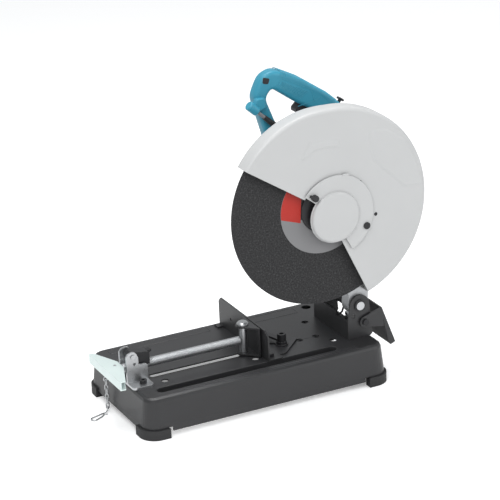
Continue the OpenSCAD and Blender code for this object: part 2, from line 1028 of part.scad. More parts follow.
module handle_near() {
    color(teal) {
        difference() {
            union() {
                along_y(handle_y0, handle_mid)
                    handle_2d();
                // ring that holds the far end of the lead
                on_lead()
                    translate([0, 0, -ring_len])
                        cylinder(r = 8.5, h = ring_len);
                along_y(-34, handle_y0 + 1)
                    polygon([[34, 528], [44, 520], [60, 530], [56, 544], [44, 546]]);
                // boss that the lead leaves from
                on_lead()
                    translate([0, 0, boot_len + 2])
                        cylinder(r = 9, h = 22);
                along_y(-36, handle_y0 + 1)
                    polygon([[98, 464], [110, 474], [126, 458], [114, 446]]);
            }
            handle_cuts();
            on_lead()
                translate([0, 0, -14])
                    cylinder(r = 3.25, h = 14 + boot_len + 16);
            on_lead()
                translate([0, 0, -6])
                    cylinder(r = 4.8, h = boot_len + 12);
        }
        bar_y(trigger_pivot[0], trigger_pivot[1], 2.2, -17.5, handle_mid);
    }
}

module handle_far() {
    color(teal) {
        difference() {
            along_y(handle_mid, handle_y1)
                handle_2d();
            handle_cuts();
            // the front leg is thinner than the grip
            translate([leg_x - 60, leg_y1, 450])
                cube([60, 30, 160]);
        }
        bar_y(trigger_pivot[0], trigger_pivot[1], 2.2, handle_mid, 5.5);
    }
}

module handle_screws() {
    color(zinc)
        for (p = grip_screws) {
            bar_y(p[0], p[1], 2, handle_y0 + 7.9, (p[0] < leg_x ? leg_y1 : handle_y1) - 3);
            bar_y(p[0], p[1], 4.3, handle_y0 + 5, handle_y0 + 8);
        }
}

module switch_block() {
    color(black)
        along_y(-16.9, 4.9)
            polygon([[152, 524], [182, 505], [194, 507], [152, 536]]);
}

module trigger() {
    color(black)
        difference() {
            along_y(-16, 4)
                polygon([[137, 517], [128, 508], [128, 502], [135, 498], [160, 488.5], [178, 483], [183, 490],
                         [179, 498], [152, 516]]);
            bar_y(trigger_pivot[0], trigger_pivot[1], 2.28, -30, 20);
        }
}

// Push button on the back of the grip
lock_c = [217.4, handle_mid, 501.4];

module lock_off_button() {
    color(black)
        translate(lock_c)
            rotate([0, 35, 0])
                rotate_extrude()
                    polygon([[0, -14], [4.9, -14], [4.9, -4], [3, -2], [3, 5.5], [7, 6.5], [7.6, 8.5],
                             [6, 10], [0, 10.6]]);
}

// Tapered sleeve around the lead where it leaves the housing
module strain_relief() {
    color(black)
        on_lead()
            rotate_extrude()
                polygon([[3.25, 18], [4.2, 18], [6.4, boot_len], [6.4, boot_len + 2], [4.7, boot_len + 2],
                         [4.7, boot_len + 5], [3.25, boot_len + 5]]);
}

module supply_lead() {
    color(pale_grey)
        on_lead()
            translate([0, 0, -13])
                cylinder(r = 3.2, h = 13 + boot_len + 15);
}

module brush_caps() {
    color(black)
        for (s = [-1, 1])
            translate([motor_x, 68, motor_z])
                rotate([0, 45 + (s > 0 ? 0 : 180), 0])
                    translate([0, 0, 38])
                        difference() {
                            cylinder(r = 7, h = 8);
                            translate([-5, -0.8, 6.5])
                                cube([10, 1.6, 5]);
                        }
}

module carbon_brushes() {
    color(black)
        for (s = [-1, 1])
            translate([motor_x, 68, motor_z])
                rotate([0, 45 + (s > 0 ? 0 : 180), 0])
                    translate([-3, -5, 14.3])
                        cube([6, 10, 22]);
}

module field_stator() {
    color("#6a5a4a")
        difference() {
            bar_y(motor_x, motor_z, motor_r - 3.1, -2, 46);
            bar_y(motor_x, motor_z, 25, -3, 47);
        }
}

module armature_shaft() {
    color(zinc)
        union() {
            bar_y(motor_x, motor_z, 6, -46, -29.9);
            bar_y(motor_x, motor_z, 5, -61.5, -45.9);
            bar_y(motor_x, motor_z, 7, -30, 82);
            bar_y(motor_x, motor_z, 4, 81.9, 98);
        }
}

module armature_core() {
    color("#8a8078")
        difference() {
            bar_y(motor_x, motor_z, 24, -2, 46);
            bar_y(motor_x, motor_z, 7, -3, 47);
            for (k = [0:11])
                translate([motor_x, -3, motor_z])
                    rotate([0, 30*k, 0])
                        translate([21, 0, -1.2])
                            cube([5, 60, 2.4]);
        }
}

module commutator() {
    color("#a8643a")
        ring_y(motor_x, motor_z, 14, 7, 58, 78);
}

module cooling_fan() {
    color(black) {
        ring_y(motor_x, motor_z, 12, 7, -24, -8);
        ring_y(motor_x, motor_z, 38, 11.9, -24, -22);
        for (k = [0:10])
            translate([motor_x, -22 - eps, motor_z])
                rotate([0, 360*k/11, 0])
                    translate([11.8, 0, -1])
                        cube([25, 12, 2]);
    }
}

module armature_bearings() {
    color(zinc) {
        ring_y(motor_x, motor_z, 15.98, 6.02, -40, -30.2);
        ring_y(motor_x, motor_z, 10.98, 4.02, 92, 101);
    }
}

// ---------- gears and spindle ----------

module pinion_gear() {
    color(zinc)
        difference() {
            along_y(-61, -46)
                translate([motor_x, motor_z])
                    gear_2d(pinion_teeth, 0.07, motor_dir + 180 + 180/pinion_teeth);
            bar_y(motor_x, motor_z, 5, -62, -45);
        }
}

module spindle_gear() {
    color(zinc)
        difference() {
            along_y(-60, -47)
                translate([spindle_x, spindle_z])
                    gear_2d(spindle_teeth, 0.07, motor_dir);
            bar_y(spindle_x, spindle_z, 10, -61, -46);
            for (k = [0:11])
                translate([spindle_x, 0, spindle_z])
                    rotate([0, -motor_dir + 30*k, 0])
                        bar_y(lock_pcr, 0, 3.8, -61, -46);
        }
}

module spindle() {
    color(zinc)
        difference() {
            union() {
                bar_y(spindle_x, spindle_z, 12.65, -98.5, -79);
                bar_y(spindle_x, spindle_z, 8.5, -79.1, -61.9);
                bar_y(spindle_x, spindle_z, 10, -62, -45);
                bar_y(spindle_x, spindle_z, 5, -45.1, -33);
            }
            bar_y(spindle_x, spindle_z, 5, -110, -84);
        }
}

module spindle_bearings() {
    color(zinc) {
        ring_y(spindle_x, spindle_z, 19.98, 8.52, -76, -64);
        ring_y(spindle_x, spindle_z, 14.98, 5.02, -42, -33.2);
    }
}

module inner_flange() {
    color(black)
        translate([spindle_x, -94, spindle_z])
            rotate([-90, 0, 0])
                rotate_extrude()
                    polygon([[12.65, 0], [flange_d/2, 0], [flange_d/2, 4], [34, 6], [20, 8], [20, 11],
                             [12.65, 11]]);
}

module outer_flange() {
    color(black)
        translate([spindle_x, -97 - 7, spindle_z])
            rotate([-90, 0, 0])
                rotate_extrude()
                    polygon([[5.3, 0], [24, 0], [34, 2], [flange_d/2, 4], [flange_d/2, 7], [13, 7], [13, 5],
                             [5.3, 5]]);
}

module spindle_bolt() {
    color(zinc)
        translate([spindle_x, -104, spindle_z])
            rotate([90, 0, 0]) {
                translate([0, 0, -19])
                    cylinder(r = 5, h = 21);
                cylinder(r = 11, h = 1.5);
                translate([0, 0, 1.5])
                    hex(17, 5.6);
            }
}

module cutoff_wheel() {
    color("#333333")
        ring_y(spindle_x, spindle_z, wheel_d/2, arbor_d/2, wheel_y - wheel_t/2, wheel_y + wheel_t/2);
}

module wheel_labels() {
    color("#8a8a8a") {
        ring_y(spindle_x, spindle_z, label_d/2, flange_d/2 + 0.2, wheel_y - wheel_t/2 - 0.4,
               wheel_y - wheel_t/2);
        ring_y(spindle_x, spindle_z, label_d/2, flange_d/2 + 0.2, wheel_y + wheel_t/2,
               wheel_y + wheel_t/2 + 0.4);
    }
}

// Spring-loaded pin that stops the spindle while its bolt is undone
module shaft_lock_pin() {
    color(black) {
        bar_y(lock_x, lock_z, 3.4, -44, -17.8);
        bar_y(lock_x, lock_z, 5.5, -17.9, -15);
    }
}

// ---------- guard ----------

guard_r = 183.5;
guard_c2 = [150, 341];
guard_t = 2;
cut_a0 = -65;
cut_a1 = 146.5;

// Outline of the guard: two large rounds, one about the spindle and one set toward the rear
module guard_round(inset) {
    for (c = [[spindle_x, spindle_z], guard_c2])
        translate(c)
            circle(r = guard_r - inset);
}

// Wedge of the guard that stays closed
module guard_wedge() {
    far = 420;
    translate([spindle_x, spindle_z])
        polygon(concat([[0, 0]], [for (a = [cut_a0, -20, 30, 80, 120, cut_a1]) far*[cos(a), sin(a)]]));
}

module wheel_guard() {
    color(pale_grey)
        difference() {
            along_y(guard_face_y, guard_back_y)
                intersection() {
                    guard_round(0);
                    guard_wedge();
                }
            along_y(guard_face_y + guard_t, guard_back_y + 1)
                guard_round(guard_t);
            bar_y(spindle_x, spindle_z, 50, guard_face_y - 1, guard_face_y + 5);
            for (p = [[200, 387], [230, 321]])
                bar_y(p[0], p[1], 3.2, guard_face_y - 1, guard_face_y + 5);
            bar_y(cover_pivot[0], cover_pivot[1], 4.05, guard_face_y - 1, guard_face_y + 5);
            bar_y(knob_c[0], knob_c[1], 2.55, guard_face_y - 1, guard_face_y + 5);
        }
}

module guard_inner_plate() {
    color(pale_grey)
        difference() {
            along_y(guard_back_y, gear_y0)
                intersection() {
                    guard_round(0);
                    union() {
                        guard_wedge();
                        translate([spindle_x, spindle_z])
                            circle(r = 46);
                    }
                }
            bar_y(spindle_x, spindle_z, 22, guard_back_y - 1, gear_y0 + 1);
            for (k = [0:3])
                translate([spindle_x, 0, spindle_z])
                    rotate([0, 45 + 90*k, 0])
                        bar_y(33, 0, 2.55, guard_back_y - 1, gear_y0 + 1);
        }
}

module guard_screws() {
    color(zinc)
        for (k = [0:3])
            translate([spindle_x, 0, spindle_z])
                rotate([0, 45 + 90*k, 0]) {
                    bar_y(33, 0, 2.5, guard_back_y, gear_y0);
                    bar_y(33, 0, 4.4, guard_back_y - 2.2, guard_back_y);
                }
}

cover_y = guard_face_y - 0.5;

module centre_cover() {
    color(pale_grey)
        difference() {
            union() {
                along_y(cover_y - 2, cover_y)
                    intersection() {
                        translate(cover_c)
                            circle(r = 75);
                        translate([spindle_x + 8, spindle_z - 6])
                            polygon(concat([[0, 0]],
                                    [for (a = [-62, -20, 30, 80, 120, 143]) 200*[cos(a), sin(a)]]));
                    }
                // raised round over the spindle bolt
                bar_y(147, 334, 47, cover_y - 8.5, cover_y);
            }
            bar_y(147, 334, 45, cover_y - 6.5, cover_y + 1);
            bar_y(cover_pivot[0], cover_pivot[1], 4.05, cover_y - 3, cover_y + 1);
            // slot that lets the cover swing off its clamp knob
            along_y(cover_y - 3, cover_y + 1)
                translate(knob_c)
                    rotate(233)
                        slot_x(0, 40, 6);
        }
}

module cover_pivot_screw() {
    color(black) {
        bar_y(cover_pivot[0], cover_pivot[1], 4, cover_y - 2.2, guard_face_y + 5);
        bar_y(cover_pivot[0], cover_pivot[1], 6.4, cover_y - 4.4, cover_y - 2.1);
        bar_y(cover_pivot[0], cover_pivot[1], 6.4, guard_face_y + guard_t + 0.05, guard_face_y + 5);
    }
}

module cover_knob() {
    color(black)
        union() {
            bar_y(knob_c[0], knob_c[1], 2.5, cover_y - 4, guard_face_y + 5);
            bar_y(knob_c[0], knob_c[1], 6, cover_y - 9, cover_y - 2.1);
            along_y(cover_y - 9, cover_y - 4)
                translate(knob_c)
                    rotate(150)
                        translate([-2, -2.5])
                            square([13, 5]);
        }
}

base_pan();
base_feet();
fence();
fence_bolts();
vise_bracket();
vise_bracket_bolts();
vise_nut();
vise_nut_pin();
vise_jaw();
vise_jaw_pin();
vise_screw();
crank();
crank_pin();
chain_eyelet();
chain_links();
lock_clip();
pivot_bracket();
pivot_bracket_bolts();
pivot_shaft();
pivot_rings();
return_spring();
depth_stop();
spark_guard();
spark_guard_screws();
swing_arm();
gear_housing_cover();
motor_housing();
motor_end_cap();
handle_near();
handle_far();
handle_screws();
switch_block();
trigger();
lock_off_button();
strain_relief();
supply_lead();
brush_caps();
carbon_brushes();
field_stator();
armature_shaft();
armature_core();
commutator();
cooling_fan();
armature_bearings();
pinion_gear();
spindle_gear();
spindle();
spindle_bearings();
inner_flange();
outer_flange();
spindle_bolt();
cutoff_wheel();
wheel_labels();
shaft_lock_pin();
wheel_guard();
guard_inner_plate();
guard_screws();
centre_cover();
cover_pivot_screw();
cover_knob();
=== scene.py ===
import json
import math

import bmesh
import bpy
from mathutils import Matrix, Vector


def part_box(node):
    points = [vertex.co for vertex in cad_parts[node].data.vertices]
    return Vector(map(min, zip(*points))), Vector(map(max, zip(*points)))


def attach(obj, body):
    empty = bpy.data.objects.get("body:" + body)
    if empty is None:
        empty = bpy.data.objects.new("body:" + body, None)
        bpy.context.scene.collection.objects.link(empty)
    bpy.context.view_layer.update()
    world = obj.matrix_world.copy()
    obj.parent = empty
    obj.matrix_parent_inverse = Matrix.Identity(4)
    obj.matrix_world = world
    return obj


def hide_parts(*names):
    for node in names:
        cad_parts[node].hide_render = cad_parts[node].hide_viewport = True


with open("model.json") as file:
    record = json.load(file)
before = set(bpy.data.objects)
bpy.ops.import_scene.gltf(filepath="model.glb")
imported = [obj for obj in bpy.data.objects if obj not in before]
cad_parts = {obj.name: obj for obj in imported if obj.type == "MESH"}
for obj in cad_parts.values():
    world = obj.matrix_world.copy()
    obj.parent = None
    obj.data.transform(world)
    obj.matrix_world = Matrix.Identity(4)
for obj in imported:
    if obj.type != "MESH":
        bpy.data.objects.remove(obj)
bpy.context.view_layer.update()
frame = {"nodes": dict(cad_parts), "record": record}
MM = 0.001


# ---------- materials ----------

def nodes_of(name):
    """A new material with its Principled node, ready for a network."""
    mat = bpy.data.materials.new(name)
    mat.use_nodes = True
    tree = mat.node_tree
    return mat, tree, tree.nodes["Principled BSDF"]


def add(tree, kind, **values):
    node = tree.nodes.new(kind)
    for key, value in values.items():
        if key in node.inputs:
            node.inputs[key].default_value = value
        else:
            setattr(node, key, value)
    return node


def texture(tree, coord, scale, detail=3.0, stretch=(1, 1, 1)):
    """Noise in object space; scale is in cycles per metre."""
    mapping = add(tree, "ShaderNodeMapping")
    mapping.inputs["Scale"].default_value = stretch
    tree.links.new(coord.outputs["Object"], mapping.inputs["Vector"])
    tex = add(tree, "ShaderNodeTexNoise", Scale=scale, Detail=detail)
    tree.links.new(mapping.outputs["Vector"], tex.inputs["Vector"])
    return tex


def ramp(tree, source, stops):
    node = tree.nodes.new("ShaderNodeValToRGB")
    els = node.color_ramp.elements
    els[0].position, els[0].color = stops[0][0], (*stops[0][1], 1)
    els[1].position, els[1].color = stops[-1][0], (*stops[-1][1], 1)
    for pos, col in stops[1:-1]:
        e = els.new(pos)
        e.color = (*col, 1)
    tree.links.new(source, node.inputs["Fac"])
    return node


def worn(tree, coord, colour, wear, edge_r, amount):
    """Mixes the wear colour in where the surface turns within edge_r, broken up by scratches."""
    soft = add(tree, "ShaderNodeBevel", samples=4, Radius=edge_r)
    geo = add(tree, "ShaderNodeNewGeometry")
    dot = add(tree, "ShaderNodeVectorMath", operation="DOT_PRODUCT")
    tree.links.new(soft.outputs["Normal"], dot.inputs[0])
    tree.links.new(geo.outputs["Normal"], dot.inputs[1])
    edge = ramp(tree, dot.outputs["Value"], [(0.8, (1, 1, 1)), (0.985, (0, 0, 0))])
    marks = texture(tree, coord, 220.0, 6.0)
    scratch = ramp(tree, marks.outputs["Fac"], [(0.45, (0, 0, 0)), (0.65, (amount,) * 3)])
    both = add(tree, "ShaderNodeMath", operation="MULTIPLY")
    tree.links.new(edge.outputs["Color"], both.inputs[0])
    tree.links.new(scratch.outputs["Color"], both.inputs[1])
    mix = add(tree, "ShaderNodeMix", data_type="RGBA")
    tree.links.new(both.outputs[0], mix.inputs["Factor"])
    tree.links.new(colour, mix.inputs["A"])
    mix.inputs["B"].default_value = (*wear, 1)
    return mix.outputs["Result"]


def surface(name, color, rough=0.45, metal=0.0, grain=900.0, bump=0.1, depth=0.0002, spread=0.08,
            stretch=(1, 1, 1), wear=None, coat=0.0, blotch=9.0, edge=0.0008):
    """Base colour with soft blotches, fine grain in roughness and bump, softened and worn edges."""
    mat, tree, bsdf = nodes_of(name)
    coord = add(tree, "ShaderNodeTexCoord")
    dark = tuple(c * (1 - spread) for c in color)
    light = tuple(min(1.0, c * (1 + spread)) for c in color)
    big = texture(tree, coord, blotch, 3.0, stretch)
    out = ramp(tree, big.outputs["Fac"], [(0.3, dark), (0.7, light)]).outputs["Color"]
    fine = texture(tree, coord, grain, 2.0, stretch)
    low, high = max(rough - 0.04, 0.05), min(rough + 0.05, 1)
    shine = ramp(tree, fine.outputs["Fac"], [(0.25, (low,) * 3), (0.75, (high,) * 3)])
    tree.links.new(shine.outputs["Color"], bsdf.inputs["Roughness"])
    if wear:
        out = worn(tree, coord, out, wear, edge * 1.2, 0.8)
    tree.links.new(out, bsdf.inputs["Base Color"])
    bsdf.inputs["Metallic"].default_value = metal
    bsdf.inputs["Coat Weight"].default_value = coat
    bsdf.inputs["Coat Roughness"].default_value = 0.25
    relief = add(tree, "ShaderNodeBump", Strength=bump, Distance=depth)
    tree.links.new(fine.outputs["Fac"], relief.inputs["Height"])
    soft = add(tree, "ShaderNodeBevel", samples=4, Radius=edge)
    tree.links.new(soft.outputs["Normal"], relief.inputs["Normal"])
    tree.links.new(relief.outputs["Normal"], bsdf.inputs["Normal"])
    return mat


def abrasive(name):
    """Dark resin with pale grit."""
    mat, tree, bsdf = nodes_of(name)
    coord = add(tree, "ShaderNodeTexCoord")
    cells = add(tree, "ShaderNodeTexVoronoi", Scale=620.0)
    tree.links.new(coord.outputs["Object"], cells.inputs["Vector"])
    mid = texture(tree, coord, 330.0, 6.0)
    tone = ramp(tree, mid.outputs["Fac"], [(0.34, (0.012, 0.012, 0.013)), (0.55, (0.023, 0.023, 0.024)),
                                           (0.72, (0.05, 0.05, 0.052))])
    tree.links.new(tone.outputs["Color"], bsdf.inputs["Base Color"])
    grit = ramp(tree, cells.outputs["Distance"], [(0.1, (0.6, 0.6, 0.6)), (0.6, (0.9, 0.9, 0.9))])
    tree.links.new(grit.outputs["Color"], bsdf.inputs["Roughness"])
    relief = add(tree, "ShaderNodeBump", Strength=0.35, Distance=0.0005)
    tree.links.new(cells.outputs["Distance"], relief.inputs["Height"])
    tree.links.new(relief.outputs["Normal"], bsdf.inputs["Normal"])
    return mat


MAT = {
    "black_steel": surface("black_steel", (0.020, 0.020, 0.0215), 0.42, wear=(0.07, 0.07, 0.07), coat=0.1),
    "guard_paint": surface("guard_paint", (0.50, 0.505, 0.505), 0.42, spread=0.015, bump=0.05,
                           wear=(0.6, 0.6, 0.6), coat=0.15, edge=0.0012),
    "teal_plastic": surface("teal_plastic", (0.028, 0.25, 0.36), 0.42, grain=1400, spread=0.05,
                            wear=(0.1, 0.38, 0.48), edge=0.0012),
    "black_plastic": surface("black_plastic", (0.014, 0.014, 0.016), 0.5, grain=1400, bump=0.2, spread=0.15,
                             wear=(0.05, 0.05, 0.05)),
    "rubber": surface("rubber", (0.018, 0.018, 0.019), 0.6, bump=0.2, spread=0.15,
                      wear=(0.05, 0.05, 0.05), edge=0.0015),
    "grey_rubber": surface("grey_rubber", (0.2, 0.2, 0.21), 0.5, bump=0.2),
    "zinc": surface("zinc", (0.52, 0.53, 0.54), 0.3, 0.95, 600, spread=0.12, wear=(0.8, 0.8, 0.81)),
    "bright_zinc": surface("bright_zinc", (0.70, 0.80, 0.78), 0.32, 0.35, 500, spread=0.05,
                           wear=(0.88, 0.9, 0.89)),
    "steel": surface("steel", (0.45, 0.45, 0.46), 0.28, 1.0, 500, stretch=(1, 6, 1), wear=(0.7, 0.7, 0.7)),
    "black_oxide": surface("black_oxide", (0.018, 0.018, 0.02), 0.36, 0.3, spread=0.15,
                           wear=(0.16, 0.16, 0.16)),
    "aluminium": surface("aluminium", (0.46, 0.47, 0.48), 0.46, 0.7, 450, 0.3, 0.0003, 0.1,
                         wear=(0.66, 0.66, 0.67), edge=0.0015),
    "laminations": surface("laminations", (0.2, 0.15, 0.11), 0.45, 0.5, 400, 0.3, 0.0003, 0.15,
                           stretch=(0.1, 8, 0.1)),
    "copper": surface("copper", (0.62, 0.3, 0.16), 0.3, 1.0, 400, stretch=(0.2, 6, 0.2)),
    "carbon": surface("carbon", (0.02, 0.02, 0.02), 0.6, 0.2, 900, 0.2),
    "label": surface("label", (0.20, 0.20, 0.205), 0.6, grain=1800, spread=0.05),
    "abrasive": abrasive("abrasive"),
}
RED = surface("label_red", (0.40, 0.016, 0.008), 0.55, grain=1800, spread=0.08)
LABEL_DARK = surface("label_dark", (0.016, 0.016, 0.017), 0.6, grain=1800, spread=0.1)

SLOT = {s["node"]: s["material_slot"] for s in frame["record"]["subparts"]}
for node, obj in frame["nodes"].items():
    obj = bpy.data.objects[obj] if isinstance(obj, str) else obj
    mat = MAT[SLOT[node]]
    if not obj.material_slots:
        obj.data.materials.append(mat)
    for s in obj.material_slots:
        s.material = mat


# ---------- camera, lights, floor ----------

CAM_AT = Vector((-1.618703, -3.450004, 1.750229))
AZ, EL, ROLL = (math.radians(a) for a in (-25.596, 21.321, -2.548))
LENS = 165.6


def camera():
    back = Vector((math.sin(AZ) * math.cos(EL), -math.cos(AZ) * math.cos(EL), math.sin(EL)))
    right = Vector((math.cos(AZ), math.sin(AZ), 0))
    up = back.cross(right)
    c, s = math.cos(ROLL), math.sin(ROLL)
    x, y = c * right + s * up, -s * right + c * up
    data = bpy.data.cameras.new("camera")
    data.lens, data.sensor_width = LENS, 36.0
    data.clip_end = 50
    obj = bpy.data.objects.new("camera", data)
    bpy.context.collection.objects.link(obj)
    obj.matrix_world = Matrix.Translation(CAM_AT) @ Matrix((x, y, back)).transposed().to_4x4()
    bpy.context.scene.camera = obj


def area_light(name, at, to, size, power):
    data = bpy.data.lights.new(name, "AREA")
    data.shape, data.size, data.size_y, data.energy = "RECTANGLE", size[0], size[1], power
    obj = bpy.data.objects.new(name, data)
    bpy.context.collection.objects.link(obj)
    obj.location = at
    obj.rotation_euler = (Vector(to) - Vector(at)).to_track_quat("-Z", "Y").to_euler()


def stage():
    """Pale floor, and a world that is white to the camera and soft grey as a light."""
    mesh = bpy.data.meshes.new("floor")
    bm = bmesh.new()
    bmesh.ops.create_grid(bm, x_segments=1, y_segments=1, size=30)
    bm.to_mesh(mesh)
    floor = bpy.data.objects.new("floor", mesh)
    bpy.context.collection.objects.link(floor)
    mat, tree, bsdf = nodes_of("floor")
    bsdf.inputs["Base Color"].default_value = (0.95, 0.95, 0.95, 1)
    bsdf.inputs["Roughness"].default_value = 0.6
    out = tree.nodes["Material Output"]
    glow = add(tree, "ShaderNodeEmission", Strength=1.0)
    path = add(tree, "ShaderNodeLightPath")
    mix = add(tree, "ShaderNodeAddShader")
    dim = add(tree, "ShaderNodeMath", operation="MULTIPLY")
    dim.inputs[1].default_value = 0.3
    tree.links.new(path.outputs["Is Camera Ray"], dim.inputs[0])
    tree.links.new(dim.outputs[0], glow.inputs["Strength"])
    tree.links.new(bsdf.outputs[0], mix.inputs[0])
    tree.links.new(glow.outputs[0], mix.inputs[1])
    tree.links.new(mix.outputs[0], out.inputs["Surface"])
    mesh.materials.append(mat)
    world = bpy.data.worlds.new("world")
    bpy.context.scene.world = world
    world.use_nodes = True
    wt = world.node_tree
    bg = wt.nodes["Background"]
    wpath = wt.nodes.new("ShaderNodeLightPath")
    wmix = wt.nodes.new("ShaderNodeMix")
    wmix.data_type = "RGBA"
    wmix.inputs["A"].default_value = (0.55, 0.56, 0.57, 1)
    wmix.inputs["B"].default_value = (1, 1, 1, 1)
    wt.links.new(wpath.outputs["Is Camera Ray"], wmix.inputs["Factor"])
    wt.links.new(wmix.outputs["Result"], bg.inputs["Color"])


camera()
stage()
area_light("key", (-1.2, -1.6, 2.4), (0, 0, 0.25), (1.6, 1.6), 40)
area_light("fill", (1.8, -1.8, 1.2), (0, 0, 0.3), (1.6, 1.6), 16)
area_light("top", (0.1, 0.4, 2.2), (0, 0, 0.2), (1.4, 1.0), 24)
bpy.context.scene.view_settings.view_transform = "Standard"


# ---------- shared shapes ----------

def link(name, mesh, body, material):
    obj = bpy.data.objects.new(name, mesh)
    bpy.context.collection.objects.link(obj)
    if not mesh.materials:
        mesh.materials.append(material)
    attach(obj, body)
    return obj


def rounded(points, r, steps=5):
    """Outline with each corner of a polygon swapped for a quadratic bend that starts r before it."""
    out = []
    n = len(points)
    for k in range(n):
        a, b, c = (Vector(points[(k + d) % n]) for d in (-1, 0, 1))
        p = b + (a - b) * min(0.45, r / (a - b).length)
        q = b + (c - b) * min(0.45, r / (c - b).length)
        out += [p * (1 - t) ** 2 + b * 2 * t * (1 - t) + q * t ** 2 for t in (i / steps for i in range(steps + 1))]
    return out


def plate(outlines, y0, y1, bevel):
    """Mesh of a flat plate in X and Z (mm) from y0 to y1, its edges rounded by bevel."""
    data = bpy.data.curves.new("plate", "CURVE")
    data.dimensions, data.fill_mode = "2D", "BOTH"
    data.extrude = ((y1 - y0) / 2 - bevel) * MM
    data.bevel_depth, data.bevel_resolution, data.offset = bevel * MM, 4, -bevel * MM
    for outline in outlines:
        sp = data.splines.new("POLY")
        sp.points.add(len(outline) - 1)
        for pt, (x, z) in zip(sp.points, outline):
            pt.co = (x * MM, z * MM, 0, 1)
        sp.use_cyclic_u = True
    tmp = bpy.data.objects.new("plate", data)
    bpy.context.collection.objects.link(tmp)
    bpy.context.view_layer.update()
    mesh = bpy.data.meshes.new_from_object(tmp.evaluated_get(bpy.context.evaluated_depsgraph_get()))
    bpy.data.objects.remove(tmp)
    mid = (y0 + y1) / 2 * MM
    for v in mesh.vertices:
        v.co = (v.co.x, mid - v.co.z, v.co.y)
    for poly in mesh.polygons:
        poly.use_smooth = True
    mesh.materials.clear()
    mesh.set_sharp_from_angle(angle=math.radians(40))
    return mesh


def lathe_y(centre, profile, segments=96, wave=None):
    """Mesh turned about the Y line through centre (x, z); profile is (radius, y) in mm."""
    bm = bmesh.new()
    rings = []
    for r, y in profile:
        rings.append([bm.verts.new(((centre[0] + r * math.cos(a)) * MM, y * MM, (centre[1] + r * math.sin(a)) * MM))
                      for a in (2 * math.pi * k / segments for k in range(segments))])
    for low, high in zip(rings, rings[1:]):
        for k in range(segments):
            bm.faces.new((low[k], low[(k + 1) % segments], high[(k + 1) % segments], high[k]))
    bmesh.ops.recalc_face_normals(bm, faces=bm.faces)
    mesh = bpy.data.meshes.new("lathe")
    bm.to_mesh(mesh)
    bm.free()
    for poly in mesh.polygons:
        poly.use_smooth = True
    mesh.set_sharp_from_angle(angle=math.radians(35))
    return mesh


def centre_of(node):
    lo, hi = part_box(node)
    return (lo + hi) / 2 / MM


def ray_round(angle, c1, c2, radius):
    """Distance from c1 to the edge of two rounds of one radius and the strip between them."""
    d = Vector((math.cos(angle), math.sin(angle)))
    c = c2 - c1
    along = d.dot(c)
    far = along + math.sqrt(max(radius ** 2 - c.length_squared + along ** 2, 0))
    u = c.normalized()
    side = abs(d.x * -u.y + d.y * u.x)
    best = max(radius, far)
    if side > 1e-6 and 0 <= radius / side * d.dot(u) <= c.length:
        best = max(best, radius / side)
    return best


def inside_depth(p, poly):
    """Distance of p inside a polygon, negative outside."""
    best, odd = 1e9, False
    n = len(poly)
    for k in range(n):
        (ax, ay), (bx, by) = poly[k], poly[(k + 1) % n]
        dx, dy = bx - ax, by - ay
        t = max(0, min(1, ((p[0] - ax) * dx + (p[1] - ay) * dy) / (dx * dx + dy * dy)))
        best = min(best, math.hypot(p[0] - ax - t * dx, p[1] - ay - t * dy))
        if (ay > p[1]) != (by > p[1]) and p[0] < (bx - ax) * (p[1] - ay) / (by - ay) + ax:
            odd = not odd
    return best if odd else -best


# ---------- wheel guard ----------

SPINDLE = centre_of("cutoff_wheel")
AXIS = Vector((SPINDLE.x, SPINDLE.z))
GUARD_LOW, GUARD_HIGH = (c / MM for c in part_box("wheel_guard"))
GUARD_R = 183.5
GUARD_C2 = Vector((GUARD_HIGH.x - GUARD_R, GUARD_HIGH.z - GUARD_R))
FACE_Y, BACK_Y = GUARD_LOW.y, GUARD_HIGH.y
CUT = (math.radians(-65), math.radians(146.5))


def polar(r, deg):
    return (AXIS.x + r * math.cos(math.radians(deg)), AXIS.y + r * math.sin(math.radians(deg)))


ARROW = ([polar(115, a) for a in range(76, 102, 4)] + [polar(109, 117)] + [polar(137, 102)] +
         [polar(128, a) for a in range(100, 75, -4)])
PANEL = [tuple(v) for v in rounded([(219, 478), (253, 477), (290, 452), (312, 415), (331, 357), (290, 360),
                                    (226, 423)], 8, 3)]


def emboss(x, z):
    """Height of the pressed arrow and panel above the guard's face."""
    total = 0.0
    for shape, height, soft in ((ARROW, 1.3, 2.0), (PANEL, 1.4, 2.6)):
        depth = inside_depth((x, z), shape)
        t = max(0.0, min(1.0, depth / soft))
        total += height * t * t * (3 - 2 * t)
    return total


